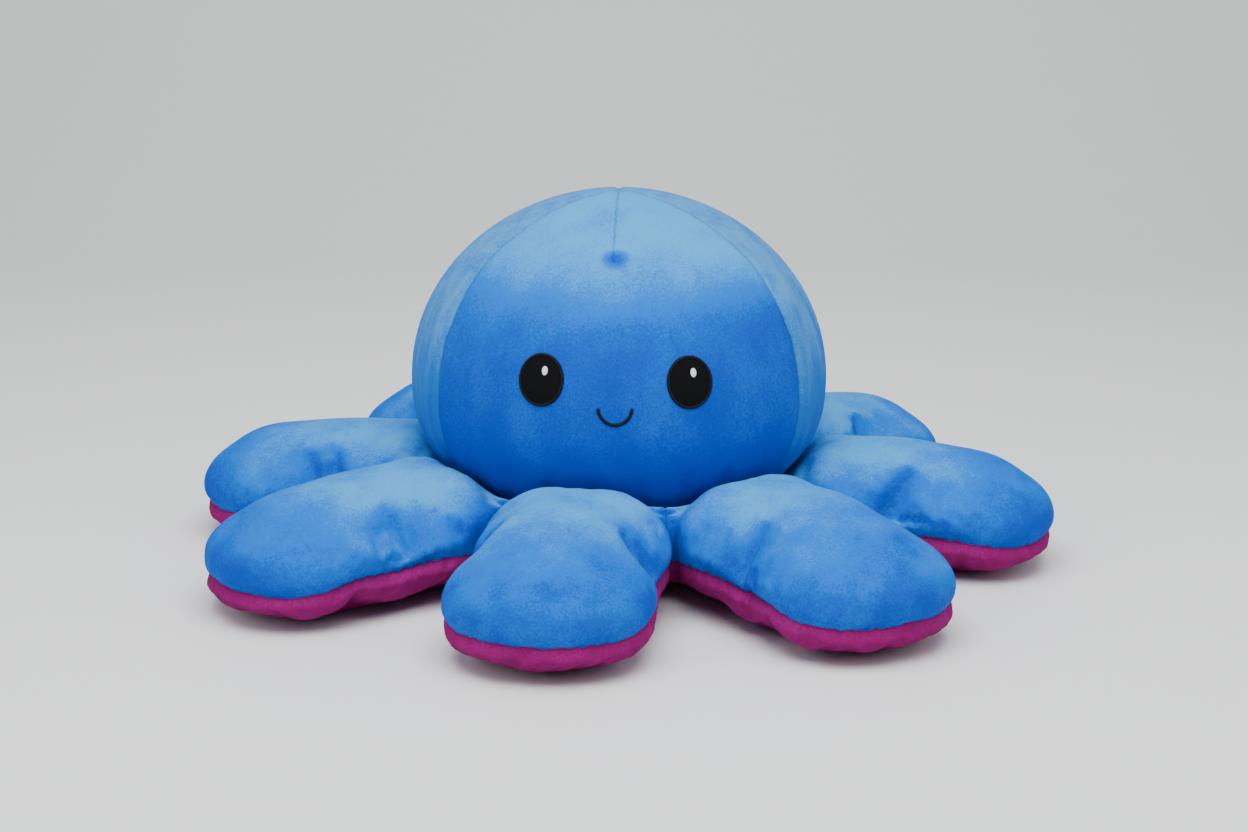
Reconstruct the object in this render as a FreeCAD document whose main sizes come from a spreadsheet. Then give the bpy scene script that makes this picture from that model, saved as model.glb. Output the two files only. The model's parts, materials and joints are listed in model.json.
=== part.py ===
import FreeCAD, Part
import math
import os
import Sketcher

# A stuffed octopus that turns inside out: a gored blue head over an eight-armed star cushion whose
# underside and cavity are lined in magenta.  Millimetres, +Z up, the face looks along -Y, and the
# origin is on the floor under the crown of the head.

V = FreeCAD.Vector
doc = FreeCAD.newDocument("octopus")

# ---------------------------------------------------------------- driving dimensions

DIMENSIONS = [
    ("cloth", 2.0, "thickness of the short-pile cloth"),
    ("stuffing", 2.3, "depth of the stuffing under the outside of the cloth"),
    ("head_radius", 206, "head at its widest"),
    ("head_top", 356, "crown above the floor"),
    ("waist", 175, "height of the widest level"),
    ("side_radius", 160, "profile arc above the waist"),
    ("low_radius", 146, "profile arc below the waist"),
    ("under_radius", 59, "profile arc turning under the head"),
    ("head_base", 68, "height of the head's lower edge"),
    ("face_span", 109, "angle of the front panel"),
    ("mouth", 112, "radius of the cavity in the underside"),
    ("cavity_wall", 110, "height where the cavity starts to close in"),
    ("cavity_top", 215, "top of the cavity"),
    ("cavity_side", 90, "profile arc of the cavity's side"),
    ("ring_foot", 140, "outer radius of the flat part of the star's centre"),
    ("ring_radius", 177, "outer radius of the star's centre"),
    ("ring_lift", 24, "how far its outer edge is off the floor"),
    ("ring_seam", 50, "height of its edge seam"),
    ("ring_shoulder", 75, "height of its outer top edge"),
    ("ring_round", 12, "width of the bevel on its outer top edge"),
    ("ring_flat", 145, "outer radius of its top under the head"),
    ("cloth_step", 1.0, "how far its cloth's inner corners stay inside its slopes"),
    ("stuffing_step", 1.2, "how far its stuffing's corners stay inside its slopes"),
    ("eye_gap", 68, "eye's distance from the middle of the face"),
    ("eye_shift", -2.5, "middle of the face from the middle of the head"),
    ("eye_level", 213, "height of the eyes"),
    ("eye_wide", 22, "half width of an eye"),
    ("eye_tall", 24.5, "half height of an eye"),
    ("patch", 0.9, "thickness of the eye cloth"),
    ("satin", 1.5, "thickness of the satin stitching"),
    ("satin_width", 2.6, "width of a line of satin stitching"),
    ("glint_wide", 3.2, "half width of the eye's light spot"),
    ("glint_tall", 4.3, "half height of the eye's light spot"),
    ("glint_right", 3.5, "light spot's distance to the right of the eye's middle"),
    ("glint_up", 8.5, "light spot's distance above the eye's middle"),
    ("smile_level", 191, "height of the ends of the smile"),
    ("smile_radius", 16.5, "outer radius of the smile"),
    ("bend", 226, "distance of an arm's bend line from the axis"),
    ("bend_height", 57, "height of the bend line"),
    ("knuckle", 46, "radius of the arm's rounded inner end"),
    ("arm_root", 176, "where the arm's form starts"),
    ("arm_seam_root", 60, "height of the arm's edge seam at its root"),
    ("arm_seam_drop", 5.2, "downward slope of the edge seam in degrees"),
    ("arm_tip_height", 37, "height of the arm's tip"),
]

# name, heading in degrees from +X, distance of the tip from the axis, greatest half width
ARMS = [
    ("front", 260, 424, 89),
    ("front_right", 306, 438, 88),
    ("right", 350.5, 433, 86),
    ("back_right", 36, 405, 84),
    ("back", 80, 424, 86),
    ("back_left", 126, 425, 86),
    ("left", 171, 432.5, 83),
    ("front_left", 214, 440, 88),
]

# sections of an arm: share of the way from root to tip, share of its half width, bottom, top
ARM_SECTIONS = [
    (0.00, 0.72, 22, 91),
    (0.20, 0.90, 14.5, 99.5),
    (0.42, 0.97, 3, 112),
    (0.66, 1.00, 0.4, 109),
    (0.82, 0.90, 1.5, 99),
    (0.925, 0.67, 8, 82),
    (0.98, 0.36, 21, 58),
]

sheet = doc.addObject("Spreadsheet::Sheet", "dims")
entries = list(DIMENSIONS)
for arm, heading, reach, half_width in ARMS:
    entries.append((f"{arm}_heading", heading, "arm's direction, degrees from +X"))
    entries.append((f"{arm}_reach", reach, "arm's tip from the axis"))
    entries.append((f"{arm}_half_width", half_width, "arm's greatest half width"))
for number, (share, wide, low, high) in enumerate(ARM_SECTIONS):
    entries.append((f"section_{number}_share", share, "way along the arm"))
    entries.append((f"section_{number}_wide", wide, "share of the half width"))
    entries.append((f"section_{number}_low", low, "bottom of the section"))
    entries.append((f"section_{number}_high", high, "top of the section"))
for row, (alias, value, meaning) in enumerate(entries, start=1):
    sheet.set(f"A{row}", alias)
    sheet.set(f"B{row}", str(value))
    sheet.setAlias(f"B{row}", alias)
    sheet.set(f"C{row}", meaning)
doc.recompute()


def size(alias):
    return float(getattr(sheet, alias))


# Depths below an outside face, as a number and as the expression that drives it
FLUSH = (0.0, "0")
UNDER_CLOTH = (size("cloth"), "dims.cloth")
AT_STUFFING = (size("stuffing"), "dims.stuffing")
CLOTH_OUT = (-size("cloth"), "-dims.cloth")
STUFFING_OUT = (-size("stuffing"), "-dims.stuffing")
PATCH_OUT = (-size("patch"), "-dims.patch")
SATIN_OUT = (-size("satin"), "-dims.satin")

parts = []


def sub_part(thing, label):
    """Marks an object as a piece of the finished octopus."""
    thing.Label = label
    parts.append(thing)
    return thing


# ---------------------------------------------------------------- turned pieces

# Rows of an outline: the spreadsheet names of its width, level, crown, side arcs and lower edge
HEAD = ("head_radius", "waist", "head_top", ["side_radius", "low_radius", "under_radius"], "head_base")
CAVITY = ("mouth", "cavity_wall", "cavity_top", ["cavity_side"], None)


def outline_arcs(outline, depth):
    """Smoothly joined arcs from the crown down: centre x, centre z, radius, start and end angle."""
    wide_name, level_name, crown_name, arc_names, base_name = outline
    wide, level, crown = size(wide_name), size(level_name), size(crown_name)
    radii = [size(name) for name in arc_names]
    inset = wide - radii[0]
    rise = crown - level
    top_radius = (inset**2 + rise**2 - radii[0] ** 2) / (2 * (rise - radii[0]))
    meet = math.atan2(level - crown + top_radius, inset)
    rows = [
        (0, crown - top_radius, top_radius - depth, meet, math.pi / 2),
        (inset, level, radii[0] - depth, 0, meet),
    ]
    if base_name:
        low, under = radii[1:]
        drop = level - size(base_name) - under
        turn = math.asin(drop / (low - under))
        under_x = wide - low + (low - under) * math.cos(turn)
        rows.append((wide - low, level, low - depth, -turn, 0))
        rows.append((under_x, level - drop, under - depth, -math.pi / 2, -turn))
    return rows


def lower_end(row):
    """Where the lower end of an arc lies."""
    x, z, radius, start, _ = row
    return x + radius * math.cos(start), z + radius * math.sin(start)


def line(x1, z1, x2, z2):
    return Part.LineSegment(V(x1, z1, 0), V(x2, z2, 0))


def new_sketch(body):
    """A sketch on the body's own XZ plane: x is the radius and y the height."""
    plane = next(o for o in body.Origin.OriginFeatures if o.Role == "XZ_Plane")
    sketch = body.newObject("Sketcher::SketchObject", f"{body.Name}_outline")
    sketch.AttachmentSupport = (plane, [""])
    sketch.MapMode = "FlatFace"
    return sketch


def bind(sketch, kind, arguments, value, expression):
    """A dimension of the sketch that follows the spreadsheet."""
    number = sketch.addConstraint(Sketcher.Constraint(kind, *arguments, value))
    sketch.setExpression(f"Constraints[{number}]", expression)


def join(sketch, *ends):
    """Makes each pair of ends in (line, end, line, end) the same point."""
    for first, first_end, second, second_end in ends:
        sketch.addConstraint(Sketcher.Constraint("Coincident", first, first_end, second, second_end))


def add_outline(sketch, outline, depth):
    """Draws an outline at a depth, driven by the spreadsheet; returns its first and last arc."""
    wide_name, level_name, crown_name, arc_names, base_name = outline
    amount, expression = depth
    rows = outline_arcs(outline, amount)
    numbers = []
    for x, z, radius, start, end in rows:
        circle = Part.Circle(V(x, z, 0), V(0, 0, 1), radius)
        numbers.append(sketch.addGeometry(Part.ArcOfCircle(circle, start, end), False))
    for upper, lower in zip(numbers, numbers[1:]):
        sketch.addConstraint(Sketcher.Constraint("Tangent", upper, 1, lower, 2))
    crown, side, last = numbers[0], numbers[1], numbers[-1]
    for point in (2, 3):
        sketch.addConstraint(Sketcher.Constraint("PointOnObject", crown, point, -2))
    sketch.addConstraint(Sketcher.Constraint("Horizontal", side, 3, side, 1))
    top, wide = size(crown_name) - amount, size(wide_name) - amount
    bind(sketch, "DistanceY", (-1, 1, crown, 2), top, f"dims.{crown_name} - ({expression})")
    bind(sketch, "DistanceX", (-1, 1, side, 1), wide, f"dims.{wide_name} - ({expression})")
    bind(sketch, "DistanceY", (-1, 1, side, 1), size(level_name), f"dims.{level_name}")
    for number, name in zip(numbers[1:], arc_names):
        bind(sketch, "Radius", (number,), size(name) - amount, f"dims.{name} - ({expression})")
    if base_name:
        sketch.addConstraint(Sketcher.Constraint("Vertical", last, 3, last, 1))
        base = size(base_name) + amount
        bind(sketch, "DistanceY", (-1, 1, last, 1), base, f"dims.{base_name} + ({expression})")
    return crown, last


def revolve(body, sketch, angle=360, expression=None):
    """Revolves the sketch about the axis, evenly to both sides of the plane it is drawn on."""
    turned = body.newObject("PartDesign::Revolution", f"{body.Name}_turned")
    turned.Profile = sketch
    turned.ReferenceAxis = (sketch, ["V_Axis"])
    turned.Midplane = angle < 360
    turned.Angle = angle
    if expression:
        turned.setExpression("Angle", expression)


def face_to(body, heading):
    """Turns a body, which is made facing +X, to a heading about the upright axis."""
    body.Placement = FreeCAD.Placement(V(), FreeCAD.Rotation(V(0, 0, 1), heading))


def head_layer(name, outer_depth, inner_depth, angle=360, expression=None):
    """A turned layer of the head between two depths, open underneath."""
    body = doc.addObject("PartDesign::Body", name)
    sketch = new_sketch(body)
    top, base = add_outline(sketch, HEAD, outer_depth)
    inner_top, inner_base = add_outline(sketch, HEAD, inner_depth)
    crown = size("head_top")
    axis = sketch.addGeometry(line(0, crown - outer_depth[0], 0, crown - inner_depth[0]), False)
    foot = lower_end(outline_arcs(HEAD, outer_depth[0])[-1])
    inner_foot = lower_end(outline_arcs(HEAD, inner_depth[0])[-1])
    hem = sketch.addGeometry(line(*inner_foot, *foot), False)
    join(sketch, (top, 2, axis, 1), (axis, 2, inner_top, 2), (inner_base, 1, hem, 1), (hem, 2, base, 1))
    revolve(body, sketch, angle, expression)
    return body


def turned_ring(name, corners):
    """A turned ring whose section is a closed polygon of (x, z, expression for x, expression for z)."""
    body = doc.addObject("PartDesign::Body", name)
    sketch = new_sketch(body)
    count = len(corners)
    for n, (x, z, _, _) in enumerate(corners):
        sketch.addGeometry(line(x, z, *corners[(n + 1) % count][:2]), False)
    join(sketch, *[(n, 2, (n + 1) % count, 1) for n in range(count)])
    for n, (x, z, x_follows, z_follows) in enumerate(corners):
        bind(sketch, "DistanceX", (-1, 1, n, 1), x, x_follows)
        if z > 0:
            bind(sketch, "DistanceY", (-1, 1, n, 1), z, z_follows)
        else:
            sketch.addConstraint(Sketcher.Constraint("PointOnObject", n, 1, -1))
    revolve(body, sketch)
    return body


def head_panels():
    """The three gores of the blue head cover: the face panel and two rear panels."""
    span = size("face_span")
    rear = (360 - span) / 2
    aside = (span + rear) / 2
    for label, heading, angle, expression in [
        ("head_front_panel", -90, span, "dims.face_span"),
        ("head_right_panel", -90 + aside, rear, "(360 - dims.face_span) / 2"),
        ("head_left_panel", -90 - aside, rear, "(360 - dims.face_span) / 2"),
    ]:
        body = head_layer(label, FLUSH, UNDER_CLOTH, angle, expression)
        face_to(body, heading)
        sub_part(body, label)


def head_filling():
    """Stuffing between the blue cover and the magenta lining."""
    body = doc.addObject("PartDesign::Body", "head_filling")
    sketch = new_sketch(body)
    top, base = add_outline(sketch, HEAD, AT_STUFFING)
    inner_top, inner_base = add_outline(sketch, CAVITY, STUFFING_OUT)
    gap = size("stuffing")
    foot = lower_end(outline_arcs(HEAD, gap)[-1])
    wall = size("mouth") + gap
    axis = sketch.addGeometry(line(0, size("head_top") - gap, 0, size("cavity_top") + gap), False)
    side = sketch.addGeometry(line(wall, size("cavity_wall"), wall, foot[1]), False)
    hem = sketch.addGeometry(line(wall, foot[1], *foot), False)
    sketch.addConstraint(Sketcher.Constraint("Vertical", side))
    sketch.addConstraint(Sketcher.Constraint("Horizontal", hem))
    join(sketch, (top, 2, axis, 1), (axis, 2, inner_top, 2), (inner_base, 1, side, 1))
    join(sketch, (side, 2, hem, 1), (hem, 2, base, 1))
    revolve(body, sketch)
    sub_part(body, "head_filling")


def lining_panels():
    """The magenta head, pushed up inside the blue one: its three gores line the cavity."""
    for label, heading in [
        ("lining_front_panel", -90),
        ("lining_right_panel", 30),
        ("lining_left_panel", 150),
    ]:
        body = doc.addObject("PartDesign::Body", label)
        sketch = new_sketch(body)
        top, base = add_outline(sketch, CAVITY, CLOTH_OUT)
        inner_top, inner_base = add_outline(sketch, CAVITY, FLUSH)
        thick, mouth, wall = size("cloth"), size("mouth"), size("cavity_wall")
        crown = size("cavity_top")
        rows = [
            line(0, crown + thick, 0, crown),
            line(mouth, wall, mouth, thick),
            line(mouth, thick, mouth + thick, thick),
            line(mouth + thick, thick, mouth + thick, wall),
        ]
        axis, inside, hem, outside = [sketch.addGeometry(row, False) for row in rows]
        join(sketch, (top, 2, axis, 1), (axis, 2, inner_top, 2), (inner_base, 1, inside, 1))
        join(sketch, (inside, 2, hem, 1), (hem, 2, outside, 1), (outside, 2, base, 1))
        sketch.addConstraint(Sketcher.Constraint("Vertical", inside))
        sketch.addConstraint(Sketcher.Constraint("Vertical", outside))
        sketch.addConstraint(Sketcher.Constraint("Horizontal", hem))
        bind(sketch, "DistanceY", (-1, 1, hem, 1), thick, "dims.cloth")
        revolve(body, sketch, 120)
        face_to(body, heading)
        sub_part(body, label)


def star_centre():
    """The ring that the head and the eight arms are sewn to: blue above the seam, magenta below."""
    mouth, flat, foot, edge = size("mouth"), size("ring_flat"), size("ring_foot"), size("ring_radius")
    lift, seam, shoulder = size("ring_lift"), size("ring_seam"), size("ring_shoulder")
    base, thick, gap, bevel = size("head_base"), size("cloth"), size("stuffing"), size("ring_round")
    step, deep_step = size("cloth_step"), size("stuffing_step")
    inner, outer = "dims.mouth + dims.stuffing", "dims.ring_radius"
    rounded, below = f"{outer} - dims.ring_round", "dims.ring_shoulder - dims.ring_round"
    skin_top = "dims.ring_shoulder - dims.cloth"
    blue = [
        (mouth + gap, base, inner, "dims.head_base"),
        (flat, base, "dims.ring_flat", "dims.head_base"),
        (edge - bevel, shoulder, rounded, "dims.ring_shoulder"),
        (edge, shoulder - bevel, outer, below),
        (edge, seam, outer, "dims.ring_seam"),
        (edge - thick, seam, f"{outer} - dims.cloth", "dims.ring_seam"),
        (edge - thick, shoulder - bevel - step, f"{outer} - dims.cloth", f"{below} - dims.cloth_step"),
        (edge - bevel - step, shoulder - thick, f"{rounded} - dims.cloth_step", skin_top),
        (flat, base - thick, "dims.ring_flat", "dims.head_base - dims.cloth"),
        (mouth + gap, base - thick, inner, "dims.head_base - dims.cloth"),
    ]
    magenta = [
        (mouth, 0, "dims.mouth", ""),
        (foot, 0, "dims.ring_foot", ""),
        (edge, lift, outer, "dims.ring_lift"),
        (edge, seam, outer, "dims.ring_seam"),
        (edge - thick, seam, f"{outer} - dims.cloth", "dims.ring_seam"),
        (edge - thick, lift + step, f"{outer} - dims.cloth", "dims.ring_lift + dims.cloth_step"),
        (foot - step, thick, "dims.ring_foot - dims.cloth_step", "dims.cloth"),
        (mouth, thick, "dims.mouth", "dims.cloth"),
    ]
    side, top = f"{outer} - dims.stuffing", "dims.ring_shoulder - dims.stuffing"
    stuffing = [
        (mouth + gap, gap, inner, "dims.stuffing"),
        (foot - deep_step, gap, "dims.ring_foot - dims.stuffing_step", "dims.stuffing"),
        (edge - gap, lift + deep_step, side, "dims.ring_lift + dims.stuffing_step"),
        (edge - gap, shoulder - bevel - deep_step, side, f"{below} - dims.stuffing_step"),
        (edge - bevel - deep_step, shoulder - gap, f"{rounded} - dims.stuffing_step", top),
        (flat, base - gap, "dims.ring_flat", "dims.head_base - dims.stuffing"),
        (mouth + gap, base - gap, inner, "dims.head_base - dims.stuffing"),
    ]
    sub_part(turned_ring("star_top_centre", blue), "star_top_centre")
    sub_part(turned_ring("star_bottom_centre", magenta), "star_bottom_centre")
    sub_part(turned_ring("star_centre_filling", stuffing), "star_centre_filling")


# ---------------------------------------------------------------- face


def both(kind, name, base, tool):
    """A boolean of two objects."""
    made = doc.addObject(kind, name)
    made.Base = base
    made.Tool = tool
    made.Refine = False
    return made


def oval(name, across, up, wide, tall):
    """An upright oval prism through the face; place and half sizes are spreadsheet expressions."""
    ring = doc.addObject("Part::Ellipse", f"{name}_oval")
    ring.setExpression("MajorRadius", tall)
    ring.setExpression("MinorRadius", wide)
    upright = FreeCAD.Rotation(V(0, 0, 1), V(1, 0, 0), V(0, 1, 0), "ZXY")
    ring.Placement = FreeCAD.Placement(V(), upright)
    ring.setExpression("Placement.Base.x", across)
    ring.setExpression("Placement.Base.z", up)
    prism = doc.addObject("Part::Extrusion", f"{name}_prism")
    prism.Base = ring
    prism.DirMode = "Custom"
    prism.Dir = V(0, -1, 0)
    prism.setExpression("LengthFwd", "dims.head_radius + 10")
    prism.Solid = True
    return prism


def eyes():
    """Eyes of black cloth with a satin-stitched edge and a white light spot."""
    cloth_layer = head_layer("patch_layer", PATCH_OUT, FLUSH)
    light_layer = head_layer("light_layer", SATIN_OUT, PATCH_OUT)
    satin_layer = head_layer("satin_layer", SATIN_OUT, FLUSH)
    for side, sign in [("left", "-"), ("right", "")]:
        across = f"dims.eye_shift + {sign}dims.eye_gap"
        place = (across, "dims.eye_level")
        outside = oval(f"{side}_outside", *place, "dims.eye_wide", "dims.eye_tall")
        shrunk = ("dims.eye_wide - dims.satin_width", "dims.eye_tall - dims.satin_width")
        inside = oval(f"{side}_inside", *place, *shrunk)
        lit = (f"{across} + dims.glint_right", "dims.eye_level + dims.glint_up")
        light = oval(f"{side}_light", *lit, "dims.glint_wide", "dims.glint_tall")
        band = both("Part::Cut", f"{side}_band", outside, inside)
        sub_part(both("Part::Common", f"eye_{side}_patch", cloth_layer, inside), f"eye_{side}_patch")
        sub_part(both("Part::Common", f"eye_{side}_border", satin_layer, band), f"eye_{side}_border")
        sub_part(both("Part::Common", f"eye_{side}_glint", light_layer, light), f"eye_{side}_glint")
    return satin_layer


def smile(satin_layer):
    """A curved line of satin stitching between the eyes."""
    rings = []
    for name, radius in [
        ("smile_outer", "dims.smile_radius"),
        ("smile_inner", "dims.smile_radius - dims.satin_width"),
    ]:
        ring = doc.addObject("Part::Cylinder", name)
        ring.setExpression("Radius", radius)
        ring.setExpression("Height", "dims.head_radius + 10")
        ring.Angle = 170
        to_front = FreeCAD.Rotation(V(1, 0, 0), 90)
        opening_up = FreeCAD.Rotation(V(0, 0, 1), 185)
        ring.Placement = FreeCAD.Placement(V(), to_front.multiply(opening_up))
        ring.setExpression("Placement.Base.x", "dims.eye_shift")
        ring.setExpression("Placement.Base.z", "dims.smile_level")
        rings.append(ring)
    stroke = both("Part::Cut", "smile_stroke", *rings)
    sub_part(both("Part::Common", "smile", satin_layer, stroke), "smile")


# ---------------------------------------------------------------- arms


def arm_form(arm, name, depth):
    """The arm's closed form along +X at a depth, as a loft through upright ovals to its tip."""
    sections = []
    for n in range(len(ARM_SECTIONS)):
        ring = doc.addObject("Part::Ellipse", f"{name}_{n}")
        low, high = f"dims.section_{n}_low", f"dims.section_{n}_high"
        share = f"dims.section_{n}_share"
        ring.setExpression("MajorRadius", f"dims.{arm}_half_width * dims.section_{n}_wide - {depth}")
        ring.setExpression("MinorRadius", f"({high} - {low}) / 2 - {depth}")
        across = FreeCAD.Rotation(V(0, 1, 0), V(0, 0, 1), V(1, 0, 0), "ZXY")
        ring.Placement = FreeCAD.Placement(V(), across)
        reach = f"(dims.{arm}_reach - dims.arm_root - {depth})"
        ring.setExpression("Placement.Base.x", f"dims.arm_root + {reach} * {share}")
        ring.setExpression("Placement.Base.z", f"({high} + {low}) / 2")
        sections.append(ring)
    tip = doc.addObject("Part::Vertex", f"{name}_tip")
    tip.setExpression("X", f"dims.{arm}_reach - {depth}")
    tip.setExpression("Z", "dims.arm_tip_height")
    loft = doc.addObject("Part::Loft", name)
    loft.Sections = sections + [tip]
    loft.Solid = True
    return loft


def arm_trim(name, depth):
    """What lies outward of the arm's bend line, with a rounded inner end about that line."""
    half = 120
    roll = doc.addObject("Part::Cylinder", f"{name}_roll")
    roll.setExpression("Radius", f"dims.knuckle - {depth}")
    roll.Height = 2 * half
    roll.Placement = FreeCAD.Placement(V(0, half, 0), FreeCAD.Rotation(V(1, 0, 0), 90))
    roll.setExpression("Placement.Base.x", "dims.bend")
    roll.setExpression("Placement.Base.z", "dims.bend_height")
    beyond = doc.addObject("Part::Box", f"{name}_beyond")
    beyond.Length, beyond.Width, beyond.Height = 300, 2 * half, 200
    beyond.Placement = FreeCAD.Placement(V(0, -half, -40), FreeCAD.Rotation())
    beyond.setExpression("Placement.Base.x", "dims.bend")
    return both("Part::Fuse", name, roll, beyond)


def arm_underside(name):
    """The space below the arm's edge seam, which slopes down from root to tip."""
    below = doc.addObject("Part::Box", name)
    below.Length, below.Width, below.Height = 360, 240, 200
    slope = size("arm_seam_drop")
    tilt = FreeCAD.Rotation(V(0, 1, 0), slope)
    seam = V(size("arm_root"), -120, size("arm_seam_root"))
    below.Placement = FreeCAD.Placement(seam + tilt.multVec(V(-40, 0, -200)), tilt)
    return below


def arms():
    """Each arm: a blue top, a magenta underside and its stuffing, all bending on one line."""
    trims = [
        arm_trim("outside_trim", "0"),
        arm_trim("hollow_trim", "dims.cloth"),
        arm_trim("stuffing_trim", "dims.stuffing"),
    ]
    below = arm_underside("below_seam")
    for arm, _, _, _ in ARMS:
        forms = [
            arm_form(arm, f"{arm}_outside", "0"),
            arm_form(arm, f"{arm}_hollow", "dims.cloth"),
            arm_form(arm, f"{arm}_core", "dims.stuffing"),
        ]
        outside = both("Part::Common", f"{arm}_trimmed", forms[0], trims[0])
        hollow = both("Part::Common", f"{arm}_room", forms[1], trims[1])
        cover = both("Part::Cut", f"{arm}_cover", outside, hollow)
        top = both("Part::Cut", f"arm_{arm}_top", cover, below)
        bottom = both("Part::Common", f"arm_{arm}_bottom", cover, below)
        filling = both("Part::Common", f"arm_{arm}_filling", forms[2], trims[2])
        for piece in (top, bottom, filling):
            piece.setExpression("Placement.Rotation.Angle", f"dims.{arm}_heading")
            sub_part(piece, piece.Name)


head_panels()
head_filling()
lining_panels()
star_centre()
smile(eyes())
arms()
doc.recompute()

# ---------------------------------------------------------------- checks and export

for thing in doc.Objects:
    if any(word in thing.State for word in ("Invalid", "Error")):
        raise RuntimeError(f"{thing.Label} failed: {thing.State}")
os.makedirs("parts", exist_ok=True)
for piece in parts:
    shape = piece.Shape
    if shape.isNull() or not shape.isValid() or not shape.Solids:
        raise RuntimeError(f"{piece.Label} has no valid solid")
    box = shape.BoundBox
    print(
        f"{piece.Label}: {len(shape.Solids)} solid, {shape.Volume / 1000:.1f} cm3, "
        f"x {box.XMin:.1f}..{box.XMax:.1f} y {box.YMin:.1f}..{box.YMax:.1f} z {box.ZMin:.1f}..{box.ZMax:.1f}"
    )
for piece in parts:
    piece.Shape.exportStep(f"parts/{piece.Label}.step")
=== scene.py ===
import json
import math

import bmesh
import bpy
import numpy as np
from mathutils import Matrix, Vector, bvhtree
from mathutils.geometry import delaunay_2d_cdt


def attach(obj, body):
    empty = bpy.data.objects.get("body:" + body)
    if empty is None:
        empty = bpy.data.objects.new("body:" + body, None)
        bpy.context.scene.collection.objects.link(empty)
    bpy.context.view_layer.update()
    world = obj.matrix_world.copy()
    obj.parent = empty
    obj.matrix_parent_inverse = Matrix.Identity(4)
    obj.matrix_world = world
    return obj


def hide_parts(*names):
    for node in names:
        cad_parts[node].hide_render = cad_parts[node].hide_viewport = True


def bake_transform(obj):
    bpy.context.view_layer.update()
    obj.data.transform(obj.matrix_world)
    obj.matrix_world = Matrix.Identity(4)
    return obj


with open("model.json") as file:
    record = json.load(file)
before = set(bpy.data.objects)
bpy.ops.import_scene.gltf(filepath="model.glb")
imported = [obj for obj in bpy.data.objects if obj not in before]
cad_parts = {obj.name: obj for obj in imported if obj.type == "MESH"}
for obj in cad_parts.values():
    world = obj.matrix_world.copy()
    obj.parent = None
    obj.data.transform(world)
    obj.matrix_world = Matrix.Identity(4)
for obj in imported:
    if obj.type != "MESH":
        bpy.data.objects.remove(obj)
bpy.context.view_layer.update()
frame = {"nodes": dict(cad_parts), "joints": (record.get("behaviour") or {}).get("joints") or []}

# A reversible plush octopus: a gored velvet head on an eight-armed star cushion, blue above and
# magenta below.  Metres, in the CAD frame: +Z up, the face looks along -Y.

# ------------------------------------------------------------------ small helpers


def through(knots, place):
    """A smooth curve through (place, value) knots, level beyond its ends."""
    x, y = np.array(knots, float).T
    slope = np.gradient(y, x)
    slope[0] = slope[-1] = 0
    place = np.clip(place, x[0], x[-1])
    i = np.clip(np.searchsorted(x, place, side="right") - 1, 0, len(x) - 2)
    span = x[i + 1] - x[i]
    t = (place - x[i]) / span
    rise = t * t * (3 - 2 * t)
    return (
        y[i] + (y[i + 1] - y[i]) * rise
        + span * slope[i] * t * (1 - t) ** 2
        - span * slope[i + 1] * t * t * (1 - t)
    )


def ease(t):
    """Smooth step from 0 to 1."""
    t = np.clip(t, 0, 1)
    return t * t * (3 - 2 * t)


def new_object(name, points, faces):
    mesh = bpy.data.meshes.new(name)
    mesh.from_pydata([tuple(p) for p in points], [], [tuple(f) for f in faces])
    mesh.update()
    obj = bpy.data.objects.new(name, mesh)
    bpy.context.scene.collection.objects.link(obj)
    return obj


def coordinates(mesh):
    values = np.zeros(len(mesh.vertices) * 3, np.float32)
    mesh.vertices.foreach_get("co", values)
    return values.reshape(-1, 3).astype(float)


def set_coordinates(mesh, points):
    mesh.vertices.foreach_set("co", np.asarray(points, np.float32).ravel())
    mesh.update()


def normals_of(mesh):
    values = np.zeros(len(mesh.vertices) * 3, np.float32)
    mesh.vertex_normals.foreach_get("vector", values)
    return values.reshape(-1, 3)


def smooth(obj):
    obj.data.polygons.foreach_set("use_smooth", [True] * len(obj.data.polygons))
    return obj


# ------------------------------------------------------------------ the star's form

STAR_INNER_TOP = 0.128    # the blue top starts here, hidden under the head
STAR_INNER_BOTTOM = 0.113  # the magenta underside starts here, at the cavity's rim
CROTCH = 0.194            # where the seams of two neighbouring arms meet
CROTCH_ROUND = 0.006      # radius of the U that they meet in
CROWN_LINE = [
    (0.13, 0.088), (0.165, 0.106), (0.195, 0.116), (0.235, 0.114), (0.285, 0.113), (0.34, 0.112),
]
SEAM_LINE = [(0.13, 0.051), (0.19, 0.049), (0.25, 0.050), (0.31, 0.046)]
FLOOR_LINE = [
    (0.113, 0.001), (0.138, 0.001), (0.176, 0.021), (0.226, 0.013), (0.285, 0.002), (0.32, 0.0),
]
SLOPE_START = 0.3         # from here out the seam slopes down to its height at the arm's tip
SLOPE_TOP = 0.046
TIP_SEAM = 0.037
ROOT_ROUNDNESS = 0.58     # of the top's sections at the root: 1 is an ellipse, less is boxier
KEEL_ROUNDNESS = 0.62     # of the underside's sections
CIRCLE_END = 0.115        # within this radius the rows are circles about the axis


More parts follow.
